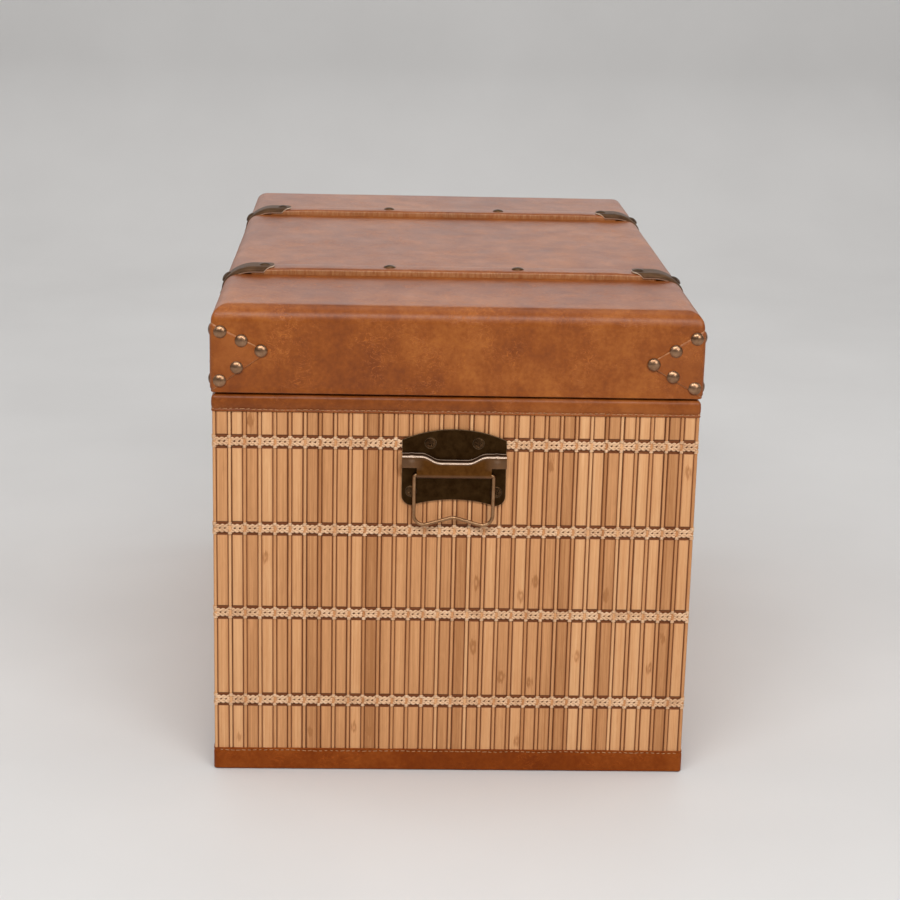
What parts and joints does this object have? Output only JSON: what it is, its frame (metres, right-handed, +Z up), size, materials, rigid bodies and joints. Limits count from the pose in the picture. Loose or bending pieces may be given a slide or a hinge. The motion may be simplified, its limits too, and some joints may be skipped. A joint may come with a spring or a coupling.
{
  "type": "storage chest",
  "caption": "Box-shaped storage chest with a leather-covered hinged lid, bamboo-clad walls, battens with metal clamps and a wire bail handle on each end.",
  "frame": {"origin": "middle of the footprint, on the floor that the chest stands on", "axes": "+X towards the right end, along the chest's length; +Y towards the hinged back; +Z up. The front is -Y."},
  "size_m": [0.6898, 0.4423, 0.4419],
  "materials": {
    "lid_leather": "soft satin, tan brown, finely grained",
    "body_leather": "soft satin, tan brown, stitched",
    "bamboo_slat": "split bamboo, satin",
    "bamboo_stick": "half-round bamboo stick, satin",
    "thread": "twisted cotton thread",
    "board": "plain board",
    "lining": "thin woven lining cloth",
    "bronze": "dark antique bronze plating",
    "nail_brass": "antique brass, polished dome",
    "bail_wire": "antique bronze wire"
  },
  "bodies": {
    "chest": {"front_board": "board", "back_board": "board", "right_end_board": "board", "left_end_board": "board", "bottom_board": "board", "front_slats": "bamboo_slat", "right_slats": "bamboo_slat", "back_slats": "bamboo_slat", "left_slats": "bamboo_slat", "front_sticks": "bamboo_stick", "right_sticks": "bamboo_stick", "back_sticks": "bamboo_stick", "left_sticks": "bamboo_stick", "thread_bands": "thread", "base_band": "body_leather", "rim_band": "body_leather", "body_lining": "lining", "right_handle_plate": "bronze", "right_handle_bridge": "bronze", "right_handle_screws": "bronze", "left_handle_plate": "bronze", "left_handle_bridge": "bronze", "left_handle_screws": "bronze", "hinge_body_leaves": "bronze", "hinge_body_screws": "bronze", "hinge_pins": "bronze"},
    "lid": {"lid_front_rail": "board", "lid_right_rail": "board", "lid_back_rail": "board", "lid_left_rail": "board", "lid_top_board": "board", "lid_cover": "lid_leather", "lid_lining": "lining", "lid_battens": "lid_leather", "batten_clamps": "bronze", "clamp_nails": "bronze", "batten_nails": "nail_brass", "corner_patches": "lid_leather", "corner_nails": "nail_brass", "hinge_lid_leaves": "bronze", "hinge_lid_screws": "bronze"},
    "right_bail": {"right_bail": "bail_wire"},
    "left_bail": {"left_bail": "bail_wire"}
  },
  "joints": [
    {"name": "lid_hinge", "type": "hinge", "parent": "chest", "child": "lid", "pos_m": [0, 0.2182, 0.3532], "axis": [-1, 0, 0], "range_deg": [0, 98]},
    {"name": "right_bail_swing", "type": "hinge", "parent": "chest", "child": "right_bail", "pos_m": [0.3403, -0.0015, 0.2829], "axis": [0, -1, 0], "range_deg": [0, 135]},
    {"name": "left_bail_swing", "type": "hinge", "parent": "chest", "child": "left_bail", "pos_m": [-0.3403, 0.0015, 0.2829], "axis": [0, 1, 0], "range_deg": [0, 135]}
  ]
}
